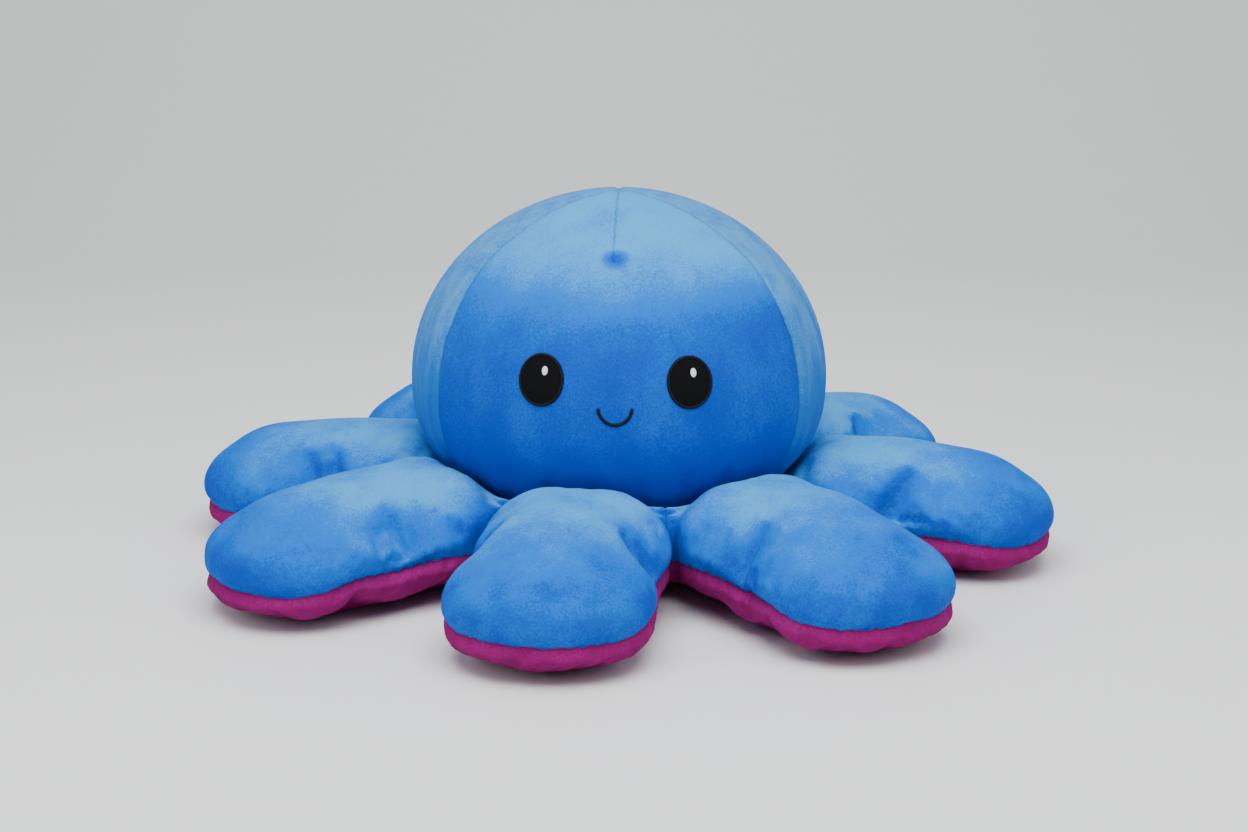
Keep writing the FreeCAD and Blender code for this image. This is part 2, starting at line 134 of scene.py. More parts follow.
class Arm:
    """One arm of the star, measured on its CAD nodes.

    A place on it is s, the distance from the axis along its heading; y, across; and a turn of
    0 at the ridge (or keel) to a quarter circle at the edge seam.
    """

    def __init__(self, joint):
        self.body = joint["child"]
        self.heading = math.atan2(joint["axis"][0], -joint["axis"][1])
        self.forward = np.array([math.cos(self.heading), math.sin(self.heading)])
        self.across = np.array([-self.forward[1], self.forward[0]])
        skin = coordinates(frame["nodes"][self.body + "_top"].data)[:, :2]
        self.reach = float((skin @ self.forward).max())
        self.half = float(np.abs(skin @ self.across).max())
        self.cap = self.reach - self.half

    def width(self, s):
        """Half width before the neighbours are taken into account."""
        w = self.half
        knots = [(0.13, 0.054), (0.165, 0.068), (0.2, w - 0.004), (0.24, w - 0.001), (0.3, w)]
        return through(knots, s)

    def limit(self, s, side):
        """Half width on one side (+1 or -1) at s, cut where the arm meets its neighbour."""
        spread = math.tan(self.spread[side])
        corner = self.corner(side)
        q = np.clip((s - corner) / CROTCH_ROUND, 0, 1)
        bend = CROTCH_ROUND * np.sqrt(1 - (1 - q) ** 2) * (1 - ease((s - corner) / 0.07))
        room = np.maximum(0, s * spread - self.width(s)) + bend
        return np.where(s <= corner, s * spread, s * spread - room)

    def corner(self, side):
        """How far along the heading the crotch on that side is."""
        return CROTCH * math.cos(self.spread[side])

    def last_turn(self, s, side, top):
        """The turn at which the section at s reaches its edge: less than a quarter near the root."""
        inward = self.corner(side) - s
        q = np.clip(inward / (0.011 if top else 0.03), 0, 1)
        depth = 0.93 if top else 0.5 + 0.5 * ease(inward / 0.045)
        return np.arccos(np.clip(depth * np.sqrt(1 - (1 - q) ** 2), 0, 1))

    def seam(self, s):
        share = ease((s - SLOPE_START) / (self.reach - SLOPE_START))
        sloped = SLOPE_TOP + (TIP_SEAM - SLOPE_TOP) * share
        return np.where(s < SEAM_LINE[-1][0], through(SEAM_LINE, s), sloped)

    def height(self, s, turn, top):
        seam = self.seam(s)
        if top:
            # the roots are squeezed against each other, so their sections are boxier
            roundness = ROOT_ROUNDNESS + (1 - ROOT_ROUNDNESS) * ease((s - 0.2) / 0.09)
            return seam + (through(CROWN_LINE, s) - seam) * np.maximum(np.cos(turn), 0) ** roundness
        return seam - (seam - through(FLOOR_LINE, s)) * np.maximum(np.cos(turn), 0) ** KEEL_ROUNDNESS

    def place(self, s, y, turn, top):
        """Points in the frame; near the axis the rows bend into circles about it."""
        angle = np.arctan2(y, s)
        round_share = 1 - ease((s - CIRCLE_END) / (CROTCH * 0.92 - CIRCLE_END))
        radius = s * (round_share + (1 - round_share) / np.cos(angle))
        radius = np.where(s < CROTCH * 0.93, radius, s / np.cos(angle))
        direction = self.heading + angle
        z = self.height(s, turn, top)
        return np.stack([radius * np.cos(direction), radius * np.sin(direction), z], axis=-1)


def read_arms():
    """The arms in order round the star, each with half the angle to its neighbour on either side."""
    arms = sorted((Arm(joint) for joint in frame["joints"]), key=lambda a: a.heading)
    for n, arm in enumerate(arms):
        after, before = arms[(n + 1) % len(arms)], arms[n - 1]
        arm.spread = {
            1: ((after.heading - arm.heading) % math.tau) / 2,
            -1: ((arm.heading - before.heading) % math.tau) / 2,
        }
    return arms


# ------------------------------------------------------------------ the star's mesh

SPACING = 0.0075


class Panel:
    """The flat pattern of one arm's top or underside: where each point of the flat cloth lies."""

    def __init__(self, arm, top):
        self.arm, self.top = arm, top
        self.inner = STAR_INNER_TOP if top else STAR_INNER_BOTTOM
        self.s = np.linspace(self.inner, arm.cap, 120)
        middle = arm.place(self.s, 0 * self.s, 0 * self.s, top)
        steps = np.linalg.norm(np.diff(middle, axis=0), axis=1)
        self.along = np.concatenate([[0], np.cumsum(steps)])
        self.half = {side: self.half_girth(side) for side in (1, -1)}

    def half_girth(self, side):
        """Length of cloth from the middle to the edge at each section."""
        shares = np.linspace(0, 1, 25)[:, None] + 0 * self.s
        points = self.lift(self.s + 0 * shares, shares, side)
        return np.linalg.norm(np.diff(points, axis=0), axis=2).sum(axis=0)

    def lift(self, s, share, side):
        """The point that is a share of the way from the middle to the edge of the section at s."""
        last = np.maximum(self.arm.last_turn(s, side, self.top), 0.01)
        y = side * self.arm.limit(s, side) * np.sin(share * last) / np.sin(last)
        return self.arm.place(s, y, share * last, self.top)

    def girth_at(self, along, side):
        return np.interp(along, self.along, self.half[side])

    def point(self, a, b):
        """Where flat points (a along, b across) lie, and their share of the way to the seam."""
        arm = self.arm
        end = self.along[-1]
        out = np.zeros((len(a), 3))
        share = np.zeros(len(a))
        for side in (1, -1):
            mine = (b >= 0) if side > 0 else (b < 0)
            body = mine & (a <= end)
            s = np.interp(a[body], self.along, self.s)
            share[body] = np.abs(b[body]) / self.girth_at(a[body], side)
            out[body] = self.lift(s, share[body], side)
            cap = mine & (a > end)
            da, db = a[cap] - end, b[cap]
            share[cap] = np.hypot(da, db) / self.half[side][-1]
            turn = np.minimum(share[cap], 1) * math.pi / 2
            aim = np.arctan2(db, da)
            s = arm.cap + arm.half * np.sin(turn) * np.cos(aim)
            y = arm.half * np.sin(turn) * np.sin(aim)
            out[cap] = arm.place(s, y, turn, self.top)
        return out, share

    def edge(self):
        """The outline of the flat piece: kind and flat point, going round from one inner corner."""
        arm = self.arm
        rows = []
        for side in (-1, 1):
            corner = arm.corner(side)
            bound = corner - (corner - self.inner) * np.linspace(1, 0, 15)[:-1] ** 1.7
            # close to the crotch the seam curves tightly, so its points are closer there
            start = corner + 0.028 * np.linspace(0, 1, 12) ** 1.8
            run = np.linspace(start[-1], arm.cap, int((arm.cap - start[-1]) / SPACING * 1.25))[1:]
            s = np.concatenate([bound, start, run])
            a = np.interp(s, self.s, self.along)
            rows.append([(x, side * self.girth_at(x, side)) for x in a])
        aims = np.linspace(-math.pi / 2, math.pi / 2, int(math.pi * arm.half / SPACING * 1.25))[1:-1]
        end = self.along[-1]
        cap = []
        for aim in aims:
            girth = self.half[1 if aim >= 0 else -1][-1]
            cap.append((end + girth * math.cos(aim), girth * math.sin(aim)))
        base = np.linspace(-1, 1, 15)[1:-1]
        inner = [(0.0, t * self.half[1 if t >= 0 else -1][0]) for t in base[::-1]]
        return rows[0] + cap + rows[1][::-1] + inner

    def mesh(self):
        """Triangles over the piece, with points evenly spread over the flat cloth."""
        outline = self.edge()
        ring = np.array(outline)
        wide = np.abs(ring[:, 1]).max()
        grid = []
        row_height = SPACING * math.sqrt(3) / 2
        for i in range(int(ring[:, 0].max() / row_height) + 1):
            offset = SPACING / 2 if i % 2 else 0
            count = int(wide / SPACING) + 2
            grid += [(i * row_height, k * SPACING + offset) for k in range(-count, count + 1)]
        grid = np.array(grid)
        near = ring[:, None, :] - grid[None, :, :]
        clear = np.sqrt((near**2).sum(axis=2)).min(axis=0) > SPACING * 0.62
        grid = grid[clear & inside(grid, ring)]
        points, faces, rim = triangulate(ring, grid)
        # a triangle with all its corners on the rim gets a point of its own
        slim = [face for face in faces if all(rim[i] for i in face)]
        middles = np.array([points[face].mean(axis=0) for face in slim]).reshape(-1, 2)
        points, faces, _ = triangulate(ring, np.concatenate([grid, middles]))
        placed, share = self.point(points[:, 0], points[:, 1])
        # how much cloth lies between each point and the panel's side; the inner loop is no seam
        seam_gap = (1 - share) * np.where(
            points[:, 1] >= 0, self.girth_at(points[:, 0], 1), self.girth_at(points[:, 0], -1)
        )
        return placed, faces, seam_gap


def triangulate(ring, grid):
    """Triangles inside the ring, through its points and the grid's, and which points are the ring's."""
    size = len(ring)
    exact = np.concatenate([ring, grid])
    edges = [(i, (i + 1) % size) for i in range(size)]
    _, _, faces, sources, _, _ = delaunay_2d_cdt([Vector(p) for p in exact], edges, [], 1, 1e-7)
    first = np.array([source[0] for source in sources])
    return exact[first], [list(face) for face in faces], first < size


def inside(points, ring):
    """Which points lie inside a closed outline."""
    x, y = points[:, 0][:, None], points[:, 1][:, None]
    x1, y1 = ring[:, 0], ring[:, 1]
    x2, y2 = np.roll(x1, -1), np.roll(y1, -1)
    crosses = ((y1 > y) != (y2 > y)) & (x < (x2 - x1) * (y - y1) / (y2 - y1 + 1e-15) + x1)
    return crosses.sum(axis=1) % 2 == 1


def build_star(arms):
    """One mesh of all sixteen panels, not yet welded: points, faces, and per face which panel it is."""
    points, faces, panel_of, gaps = [], [], [], []
    start = 0
    for number, arm in enumerate(arms):
        for top in (True, False):
            placed, tris, gap = Panel(arm, top).mesh()
            for tri in tris:
                corners = [start + i for i in tri]
                faces.append(corners if top else corners[::-1])
                panel_of.append(number * 2 + (0 if top else 1))
            points.append(placed)
            gaps.append(gap)
            start += len(placed)
    return np.concatenate(points), faces, panel_of, np.concatenate(gaps)


# ------------------------------------------------------------------ cloth


WELD_DISTANCE = 2e-5


def weld(name, points, faces, panel_of, gaps, **marks):
    """A mesh welded where its panels meet; marks are further values, one for each point."""
    obj = new_object(name, points, faces)
    labels = [("panel", "INT", "FACE", panel_of), ("gap", "FLOAT", "POINT", gaps)]
    labels += [(label, "FLOAT", "POINT", values) for label, values in marks.items()]
    for label, kind, domain, values in labels:
        layer = obj.data.attributes.new(label, kind, domain)
        layer.data.foreach_set("value", np.asarray(values, np.float32 if kind == "FLOAT" else np.int32))
    bm = bmesh.new()
    bm.from_mesh(obj.data)
    bmesh.ops.remove_doubles(bm, verts=bm.verts, dist=WELD_DISTANCE)
    bm.to_mesh(obj.data)
    bm.free()
    return obj


def read_attribute(mesh, name, kind=np.float32):
    layer = mesh.attributes[name]
    values = np.zeros(len(layer.data), kind)
    layer.data.foreach_get("value", values)
    return values


PRESSURE = 400


def stuff(obj, gather, hold, growth, frames):
    """Stuffs a cloth form: cloth where gather is 1 is cut larger by growth, and hold pins it."""
    calm = obj.vertex_groups.new(name="calm")
    held = obj.vertex_groups.new(name="held")
    for i, (g, h) in enumerate(zip(gather, hold)):
        calm.add([i], float(1 - g), "REPLACE")
        if h > 0:
            held.add([i], float(h), "REPLACE")
    cloth = obj.modifiers.new("cloth", "CLOTH")
    settings = cloth.settings
    settings.quality = 6
    settings.mass = 0.01
    settings.air_damping = 2
    settings.tension_stiffness = settings.compression_stiffness = 60
    settings.shear_stiffness = 20
    settings.bending_model = "ANGULAR"
    settings.bending_stiffness = 0.35
    settings.use_pressure = True
    settings.uniform_pressure_force = PRESSURE
    settings.vertex_group_mass = "held"
    settings.pin_stiffness = 1
    settings.vertex_group_shrink = "calm"
    settings.shrink_min = -growth
    settings.shrink_max = 0
    settings.effector_weights.gravity = 0
    cloth.collision_settings.use_collision = False
    cloth.point_cache.frame_start = 1
    cloth.point_cache.frame_end = frames
    scene = bpy.context.scene
    for frame_number in range(1, frames + 1):
        scene.frame_set(frame_number)
    evaluated = obj.evaluated_get(bpy.context.evaluated_depsgraph_get())
    shaped = evaluated.to_mesh()
    moved = coordinates(shaped)
    evaluated.to_mesh_clear()
    obj.modifiers.remove(cloth)
    obj.vertex_groups.clear()
    scene.frame_set(1)
    set_coordinates(obj.data, moved)


def refine(obj):
    """One level of subdivision, applied."""
    step = obj.modifiers.new("refine", "SUBSURF")
    step.levels = step.render_levels = 1
    evaluated = obj.evaluated_get(bpy.context.evaluated_depsgraph_get())
    mesh = bpy.data.meshes.new_from_object(evaluated)
    obj.modifiers.remove(step)
    obj.data = mesh


GROOVE_WIDTH = 0.005


def sink_seams(mesh, depth):
    """Sinks the cloth beside every seam into a groove."""
    share = 1 - ease(read_attribute(mesh, "gap") / GROOVE_WIDTH)
    set_coordinates(mesh, coordinates(mesh) - normals_of(mesh) * (share * depth)[:, None])


def split(obj, names):
    """Cuts a form into its panels, which keep the whole form's normals along their shared edges."""
    mesh = obj.data
    panel = read_attribute(mesh, "panel", np.int32)
    points = coordinates(mesh)
    normals = normals_of(mesh)
    gap = read_attribute(mesh, "gap")
    corners = [list(p.vertices) for p in mesh.polygons]
    made = {}
    for number, name in names.items():
        mine = [corners[i] for i in np.flatnonzero(panel == number)]
        used, flat = np.unique(np.concatenate(mine), return_inverse=True)
        ends = np.cumsum([len(f) for f in mine])[:-1]
        piece = new_object(name, points[used], np.split(flat, ends))
        smooth(piece)
        piece.data.normals_split_custom_set_from_vertices(normals[used].tolist())
        piece.data.attributes.new("seam_gap", "FLOAT", "POINT").data.foreach_set("value", gap[used])
        made[name] = piece
    bpy.data.objects.remove(obj)
    return made


# ------------------------------------------------------------------ head form

WAIST = 0.175
CROWN = 0.356
GIRTH = 0.206
HEAD_FOOT = 0.136
LOWER_DEPTH = 0.122
LOWER_FULLNESS = 2 / 2.8


def head_profile():
    """The head's outline from the crown to its foot: radius and height."""
    up = np.linspace(0, math.pi / 2, 90)
    foot = math.acos((HEAD_FOOT / GIRTH) ** (1 / LOWER_FULLNESS))
    down = np.linspace(0, foot, 60)[1:]
    radius = np.concatenate([GIRTH * np.sin(up), GIRTH * np.cos(down) ** LOWER_FULLNESS])
    rise = WAIST + (CROWN - WAIST) * np.cos(up)
    drop = WAIST - LOWER_DEPTH * np.sin(down) ** LOWER_FULLNESS
    return radius, np.concatenate([rise, drop])


def head_underside(radius):
    """Height of the head's lower surface at a distance from the axis."""
    inner = np.clip(radius, HEAD_FOOT, GIRTH)
    angle = np.arccos((inner / GIRTH) ** (1 / LOWER_FULLNESS))
    return WAIST - LOWER_DEPTH * np.sin(angle) ** LOWER_FULLNESS


def gores(profile, seams, spacing, dart=None, outward=True):
    """Panels sewn at upright seams (angles going round) over a turned profile.

    A dart of (length, sideways shift) runs down from the crown in the first panel.
    Returns points, faces, panel numbers and the distance of each point to the nearest seam.
    """
    radius, rise = profile
    along = np.concatenate([[0], np.cumsum(np.hypot(np.diff(radius), np.diff(rise)))])
    steps = int(along[-1] / spacing * 1.2)
    marks = np.linspace(0, along[-1], steps)
    points, faces, panel_of, gaps = [], [], [], []
    start = 0
    for number, first in enumerate(seams):
        last = seams[(number + 1) % len(seams)]
        span = (last - first) % math.tau
        middle, half = first + span / 2, span / 2
        wide = np.interp(marks, along, radius) * half
        base_count = int(2 * wide[-1] / spacing)
        base = np.linspace(-1, 1, base_count)[1:-1] * wide[-1]
        left = list(zip(marks[1:], -wide[1:]))
        right = list(zip(marks[1:], wide[1:]))
        ring = np.array([(0.0, 0.0)] + left + [(marks[-1], b) for b in base] + right[::-1])
        rows = int(along[-1] / spacing * 1.1547) + 1
        across = int(wide.max() / spacing) + 2
        grid = np.array(
            [
                (i * spacing * 0.866, (k + 0.5 * (i % 2)) * spacing)
                for i in range(rows)
                for k in range(-across, across + 1)
            ]
        )
        near = np.sqrt(((ring[:, None] - grid[None]) ** 2).sum(axis=2)).min(axis=0)
        grid = grid[(near > spacing * 0.6) & inside(grid, ring)]
        fold = None
        if dart and number == 0:
            share = np.linspace(0, 1, int(dart[0] / spacing * 1.6))[2:, None]
            fold = np.array([dart]) * share
            near = np.sqrt(((fold[:, None] - grid[None]) ** 2).sum(axis=2)).min(axis=0)
            grid = np.concatenate([fold, grid[near > spacing * 0.6]])
        flat, triangles, rim = triangulate(ring, grid)
        slim = [t for t in triangles if all(rim[i] for i in t) and flat[t][:, 0].min() > spacing * 2]
        middles = np.array([flat[t].mean(axis=0) for t in slim]).reshape(-1, 2)
        flat, triangles, _ = triangulate(ring, np.concatenate([grid, middles]))
        r = np.interp(flat[:, 0], along, radius)
        z = np.interp(flat[:, 0], along, rise)
        angle = middle + np.where(r > 1e-9, flat[:, 1] / np.maximum(r, 1e-9), 0)
        points.append(np.stack([r * np.cos(angle), r * np.sin(angle), z], axis=-1))
        faces += [[start + i for i in t] for t in triangles]
        panel_of += [number] * len(triangles)
        gap = np.maximum(r * half - np.abs(flat[:, 1]), 0)
        if fold is not None:
            down = np.clip(flat @ np.array(dart) / np.dot(dart, dart), 0, 1)[:, None]
            gap = np.minimum(gap, np.linalg.norm(flat - down * np.array([dart]), axis=1))
        gaps.append(gap)
        start += len(flat)
    points = np.concatenate(points)
    centre = np.array([0, 0, WAIST / 2])
    for n, face in enumerate(faces):
        a, b, c = points[face]
        if (np.dot(np.cross(b - a, c - a), (a + b + c) / 3 - centre) > 0) != outward:
            faces[n] = face[::-1]
    return points, faces, panel_of, np.concatenate(gaps)


# ------------------------------------------------------------------ build the star and the head

STAR_GROWTH = 0.12
STAR_FRAMES = 14
STAR_GROOVE = 0.0014
HEAD_GROWTH = 0.035
HEAD_FRAMES = 12
HEAD_GROOVE = 0.0016
LINING_GROOVE = 0.0014
SOLE = 0.0004             # how high the cloth lies over the floor
SOLE_ROUND = 0.0012       # how softly its curve runs out onto the floor
HEAD_CLEARANCE = 0.002    # between the star's top and the head's underside
HEAD_ROUND = 0.003
DRAPE_START = 0.185       # arms are held to their measured curve from here out
DRAPE_LENGTH = 0.2


def settle_on_floor(points):
    """Presses what the stuffing pushed below the floor flat onto it."""
    points[:, 2] = SOLE + SOLE_ROUND * np.logaddexp(0, (points[:, 2] - SOLE) / SOLE_ROUND)
    return points


def keep_drape(arms, before, after):
    """Takes out how far the stuffing stretched and bent each arm as a whole; its folds stay."""
    angle = np.arctan2(before[:, 1], before[:, 0])
    for arm in arms:
        turn = (angle - arm.heading + math.pi) % math.tau - math.pi
        s = before[:, :2] @ arm.forward
        mine = (turn < arm.spread[1]) & (turn >= -arm.spread[-1]) & (s > DRAPE_START)
        t = (s[mine] - DRAPE_START) / DRAPE_LENGTH
        bases = np.stack([t, t * t, t**3], axis=1)
        moved = after[mine] - before[mine]
        for direction in (np.array([0, 0, 1.0]), np.array([*arm.forward, 0])):
            share, *_ = np.linalg.lstsq(bases, moved @ direction, rcond=None)
            after[mine] -= np.outer(bases @ share, direction)
    return after


def tuck_under_head(points, top):
    """Presses the star's top down where the head sits on it."""
    radius = np.hypot(points[:, 0], points[:, 1])
    roof = head_underside(radius) - HEAD_CLEARANCE
    room = roof - points[:, 2]
    pressed = roof - HEAD_ROUND * np.logaddexp(0, room / HEAD_ROUND)
    mine = top & (radius < GIRTH * 0.99)
    points[mine, 2] = pressed[mine]
    return points


def make_star():
    arms = read_arms()
    points, faces, panel_of, gaps = build_star(arms)
    upper = np.zeros(len(points), bool)
    for face, number in zip(faces, panel_of):
        if number % 2 == 0:
            upper[face] = True
    star = weld("star", points, faces, panel_of, gaps, upper=upper)
    mesh = star.data
    points = coordinates(mesh)
    gap = read_attribute(mesh, "gap")
    upper = read_attribute(mesh, "upper") > 0.5
    set_coordinates(mesh, tuck_under_head(points, upper))
    radius = np.hypot(points[:, 0], points[:, 1])
    # the cloth is fullest in a band beside the seams, more so towards the tips and in the crotches
    gather = ease(gap / 0.008) * (1 - ease((gap - 0.018) / 0.05)) * ease((radius - 0.17) / 0.03)
    gather = gather * (0.6 + 0.4 * ease((radius - 0.20) / 0.16))
    for arm in arms:
        direction = arm.heading + arm.spread[1]
        corner = CROTCH * np.array([math.cos(direction), math.sin(direction)])
        near = 1 - ease((np.hypot(*(points[:, :2] - corner).T) - 0.025) / 0.06)
        gather = np.maximum(gather, 0.55 * near * ease(gap / 0.006))
    # the middle lies under the head and keeps its form
    hold = 1 - ease((radius - 0.15) / 0.03)
    before = coordinates(mesh)
    stuff(star, gather, hold, STAR_GROWTH, STAR_FRAMES)
    points = settle_on_floor(keep_drape(arms, before, coordinates(mesh)))
    set_coordinates(mesh, tuck_under_head(points, upper))
    refine(star)
    sink_seams(star.data, STAR_GROOVE)
    names = {}
    for number, arm in enumerate(arms):
        names[number * 2] = arm.body + "_velvet_top"
        names[number * 2 + 1] = arm.body + "_velvet_underside"
    return arms, split(star, names)


FACE_HALF = math.radians(54.5)
FRONT = -math.pi / 2
SEAMS = [FRONT - FACE_HALF, FRONT + FACE_HALF, FRONT + math.pi]
DART = (0.148, -0.0052)


def panel_names(part):
    """The names of the three panels of the head or the lining, in the order of their seams."""
    return {number: f"{part}_{side}_velvet" for number, side in enumerate(("front", "right", "left"))}


def make_head():
    points, faces, panel_of, gaps = gores(head_profile(), SEAMS, SPACING, dart=DART)
    head = weld("head", points, faces, panel_of, gaps)
    mesh = head.data
    points = coordinates(mesh)
    gap = read_attribute(mesh, "gap")
    # the cloth is a little full beside the seams, fuller at the foot, and smooth over the crown
    gather = ease(gap / 0.008) * (1 - ease((gap - 0.015) / 0.03)) * ease((points[:, 2] - 0.08) / 0.05)
    gather *= 1 - ease((points[:, 2] - 0.29) / 0.04)
    gather = np.maximum(gather, 0.7 * (1 - ease((points[:, 2] - 0.085) / 0.05)))
    hold = 1 - ease((points[:, 2] - 0.072) / 0.012)
    stuff(head, gather, hold, HEAD_GROWTH, HEAD_FRAMES)
    refine(head)
    sink_seams(head.data, HEAD_GROOVE)
    return split(head, panel_names("head"))


CAVITY_WALL = 0.110
CAVITY_SIDE = 0.09
CAVITY_TOP = 0.215
CAVITY_FOOT = 0.001
LINING_FOLD = 0.0016      # depth of the soft folds in the lining


def make_lining():
    """The magenta inside of the head: three gores over the hollow, open at the mouth."""
    up = np.linspace(math.pi / 2, 0, 40)
    drop = np.linspace(0, 1, 20)[1:]
    rim = STAR_INNER_BOTTOM
    radius = np.concatenate([CAVITY_WALL * np.cos(up), CAVITY_WALL + (rim - CAVITY_WALL) * drop**2])
    dome = CAVITY_SIDE + (CAVITY_TOP - CAVITY_SIDE) * np.sin(up)
    rise = np.concatenate([dome, CAVITY_SIDE + (CAVITY_FOOT - CAVITY_SIDE) * drop])
    points, faces, panel_of, gaps = gores((radius, rise), SEAMS, SPACING, outward=False)
    lining = weld("lining", points, faces, panel_of, gaps)
    points = coordinates(lining.data)
    # the lining hangs in soft folds between its seams
    angle = np.arctan2(points[:, 1], points[:, 0])
    share = np.sin(np.clip(points[:, 2] / CAVITY_TOP, 0, 1) * math.pi)
    waves = np.cos(angle * 11 + 14 * points[:, 2]) + 0.6 * np.cos(angle * 17 - 23 * points[:, 2] + 1)
    flat = np.hypot(points[:, 0], points[:, 1])
    depth = LINING_FOLD * waves * share * ease(flat / 0.05)
    points[:, :2] *= (1 - depth / np.maximum(flat, 0.02))[:, None]
    set_coordinates(lining.data, points)
    refine(lining)
    sink_seams(lining.data, LINING_GROOVE)
    return split(lining, panel_names("lining"))


# ------------------------------------------------------------------ face

EYES = {"left": (-0.0706, 0.2142), "right": (0.065, 0.2124)}
EYE_HALF_WIDE = 0.022
EYE_HALF_TALL = 0.0245
BORDER_WIDTH = 0.0026
BORDER_HEIGHT = 0.0021
PATCH_HEIGHT = 0.0009
PATCH_DOME = 0.0006
TURNED_DOWN = -0.0003     # edges end just inside the head's cloth
GLINT_HALF_WIDE = 0.0032
GLINT_HALF_TALL = 0.0043
GLINT_HEIGHT = 0.0012
GLINT_OFFSET = (0.0035, 0.0085)
THREAD_PITCH = 0.0008
SMILE_LEFT = -0.0186
SMILE_RIGHT = 0.0122
SMILE_LEVEL = 0.1914      # height of its ends
SMILE_DROP = 0.0158
SMILE_WIDTH = 0.0034
SMILE_HEIGHT = 0.0014


class OnHead:
    """Lays small flat shapes on the curved face; (u, v) are right and up from a point on it."""

    def __init__(self, head, x, z):
        self.tree = bvhtree.BVHTree.FromPolygons(
            [v.co for v in head.data.vertices], [p.vertices for p in head.data.polygons]
        )
        self.centre, _, _, _ = self.tree.ray_cast(Vector((x, -1, z)), Vector((0, 1, 0)))
        steepness = GIRTH / (CROWN - WAIST)
        outward = self.centre.x, self.centre.y, (self.centre.z - WAIST) * steepness
        self.normal = Vector(outward).normalized()
        self.right = Vector((0, 0, 1)).cross(self.normal).normalized()
        self.up = self.normal.cross(self.right)

    def point(self, u, v, height):
        aim = self.centre + self.right * u + self.up * v
        found, _, _, _ = self.tree.ray_cast(aim + self.normal * 0.03, -self.normal)
        return found + self.normal * height


def oval_line(half_wide, half_tall, count=180):
    turns = np.linspace(0, math.tau, count, endpoint=False)
    return [(half_wide * math.cos(t), half_tall * math.sin(t)) for t in turns]


def oval_patch(name, ground, half_wide, half_tall, height, dome, rings=14, turns=72):
    """A filled oval lying on the head, a little thicker in its middle, with its edge turned down."""
    points, faces = [ground.point(0, 0, height + dome)], []
    for ring in range(1, rings + 2):
        share = min(ring / rings, 1)
        rise = height + dome * (1 - share**2) if ring <= rings else TURNED_DOWN
        for u, v in oval_line(half_wide * share, half_tall * share, turns):
            points.append(ground.point(u, v, rise))
    for turn in range(turns):
        after = (turn + 1) % turns
        faces.append((0, 1 + turn, 1 + after))
        for ring in range(rings):
            a, b = 1 + ring * turns, 1 + (ring + 1) * turns
            faces.append((a + turn, b + turn, b + after, a + after))
    return smooth(new_object(name, points, faces))


def satin_stitch(name, ground, line, width, height, closed):
    """A band of threads laid side by side across a line of (u, v) points on the head."""
    line = np.array(line)
    steps = np.linalg.norm(np.diff(line, axis=0, append=line[:1] if closed else line[-1:]), axis=1)
    along = np.concatenate([[0], np.cumsum(steps)])[: len(line)]
    total = along[-1] + (steps[-1] if closed else 0)
    threads = int(total / THREAD_PITCH)
    samples = 4
    count = threads * samples + (0 if closed else 1)
    places = np.linspace(0, total, count, endpoint=not closed)
    if closed:
        line = np.concatenate([line, line[:1]])
        along = np.concatenate([along, [total]])
    u, v = np.interp(places, along, line[:, 0]), np.interp(places, along, line[:, 1])
    if closed:
        du, dv = np.roll(u, -1) - np.roll(u, 1), np.roll(v, -1) - np.roll(v, 1)
    else:
        du, dv = np.gradient(u), np.gradient(v)
    size = np.hypot(du, dv)
    side_u, side_v = dv / size, -du / size
    around = 9
    points, faces = [], []
    for k in range(count):
        ridge = abs(math.sin(math.pi * k / samples))
        end = 1.0
        if not closed:
            from_end = min(places[k], total - places[k])
            end = math.sqrt(1 - (1 - min(1, from_end / (width / 2))) ** 2)
        half = width / 2 * (0.93 + 0.07 * ridge) * max(end, 0.15)
        for m in range(around):
            angle = math.pi * m / (around - 1)
            off = half * math.cos(angle)
            rise = height * max(end, 0.3) * (0.86 + 0.14 * ridge) * math.sin(angle) ** 0.8
            if m in (0, around - 1):
                rise = TURNED_DOWN
            points.append(ground.point(u[k] + side_u[k] * off, v[k] + side_v[k] * off, rise))
    rows = count if closed else count - 1
    for k in range(rows):
        a, b = k * around, (k + 1) % count * around
        for m in range(around - 1):
            faces.append((a + m, a + m + 1, b + m + 1, b + m))
    if not closed:
        faces.append(tuple(range(around)))
        faces.append(tuple((count - 1) * around + m for m in range(around))[::-1])
    return smooth(new_object(name, points, faces))


def satin_oval(name, ground, centre, half_wide, half_tall, height):
    """A small oval filled with threads that run across it."""
    threads = max(4, int(2 * half_tall / THREAD_PITCH))
    samples = 4
    rows = threads * samples
    across = 12
    points, faces = [], []
    for k in range(rows + 1):
        v = -1 + 2 * k / rows
        half = half_wide * math.sqrt(max(0, 1 - v * v))
        ridge = abs(math.sin(math.pi * k / samples))
        for m in range(across + 1):
            t = -1 + 2 * m / across
            rise = height * (0.8 + 0.2 * ridge) * math.sqrt(max(0, 1 - t * t)) * max(0, 1 - v * v) ** 0.3
            at = centre[0] + t * half, centre[1] + v * half_tall
            points.append(ground.point(*at, PATCH_HEIGHT + rise))
    for k in range(rows):
        for m in range(across):
            a = k * (across + 1) + m
            faces.append((a, a + 1, a + across + 2, a + across + 1))
    return smooth(new_object(name, points, faces))


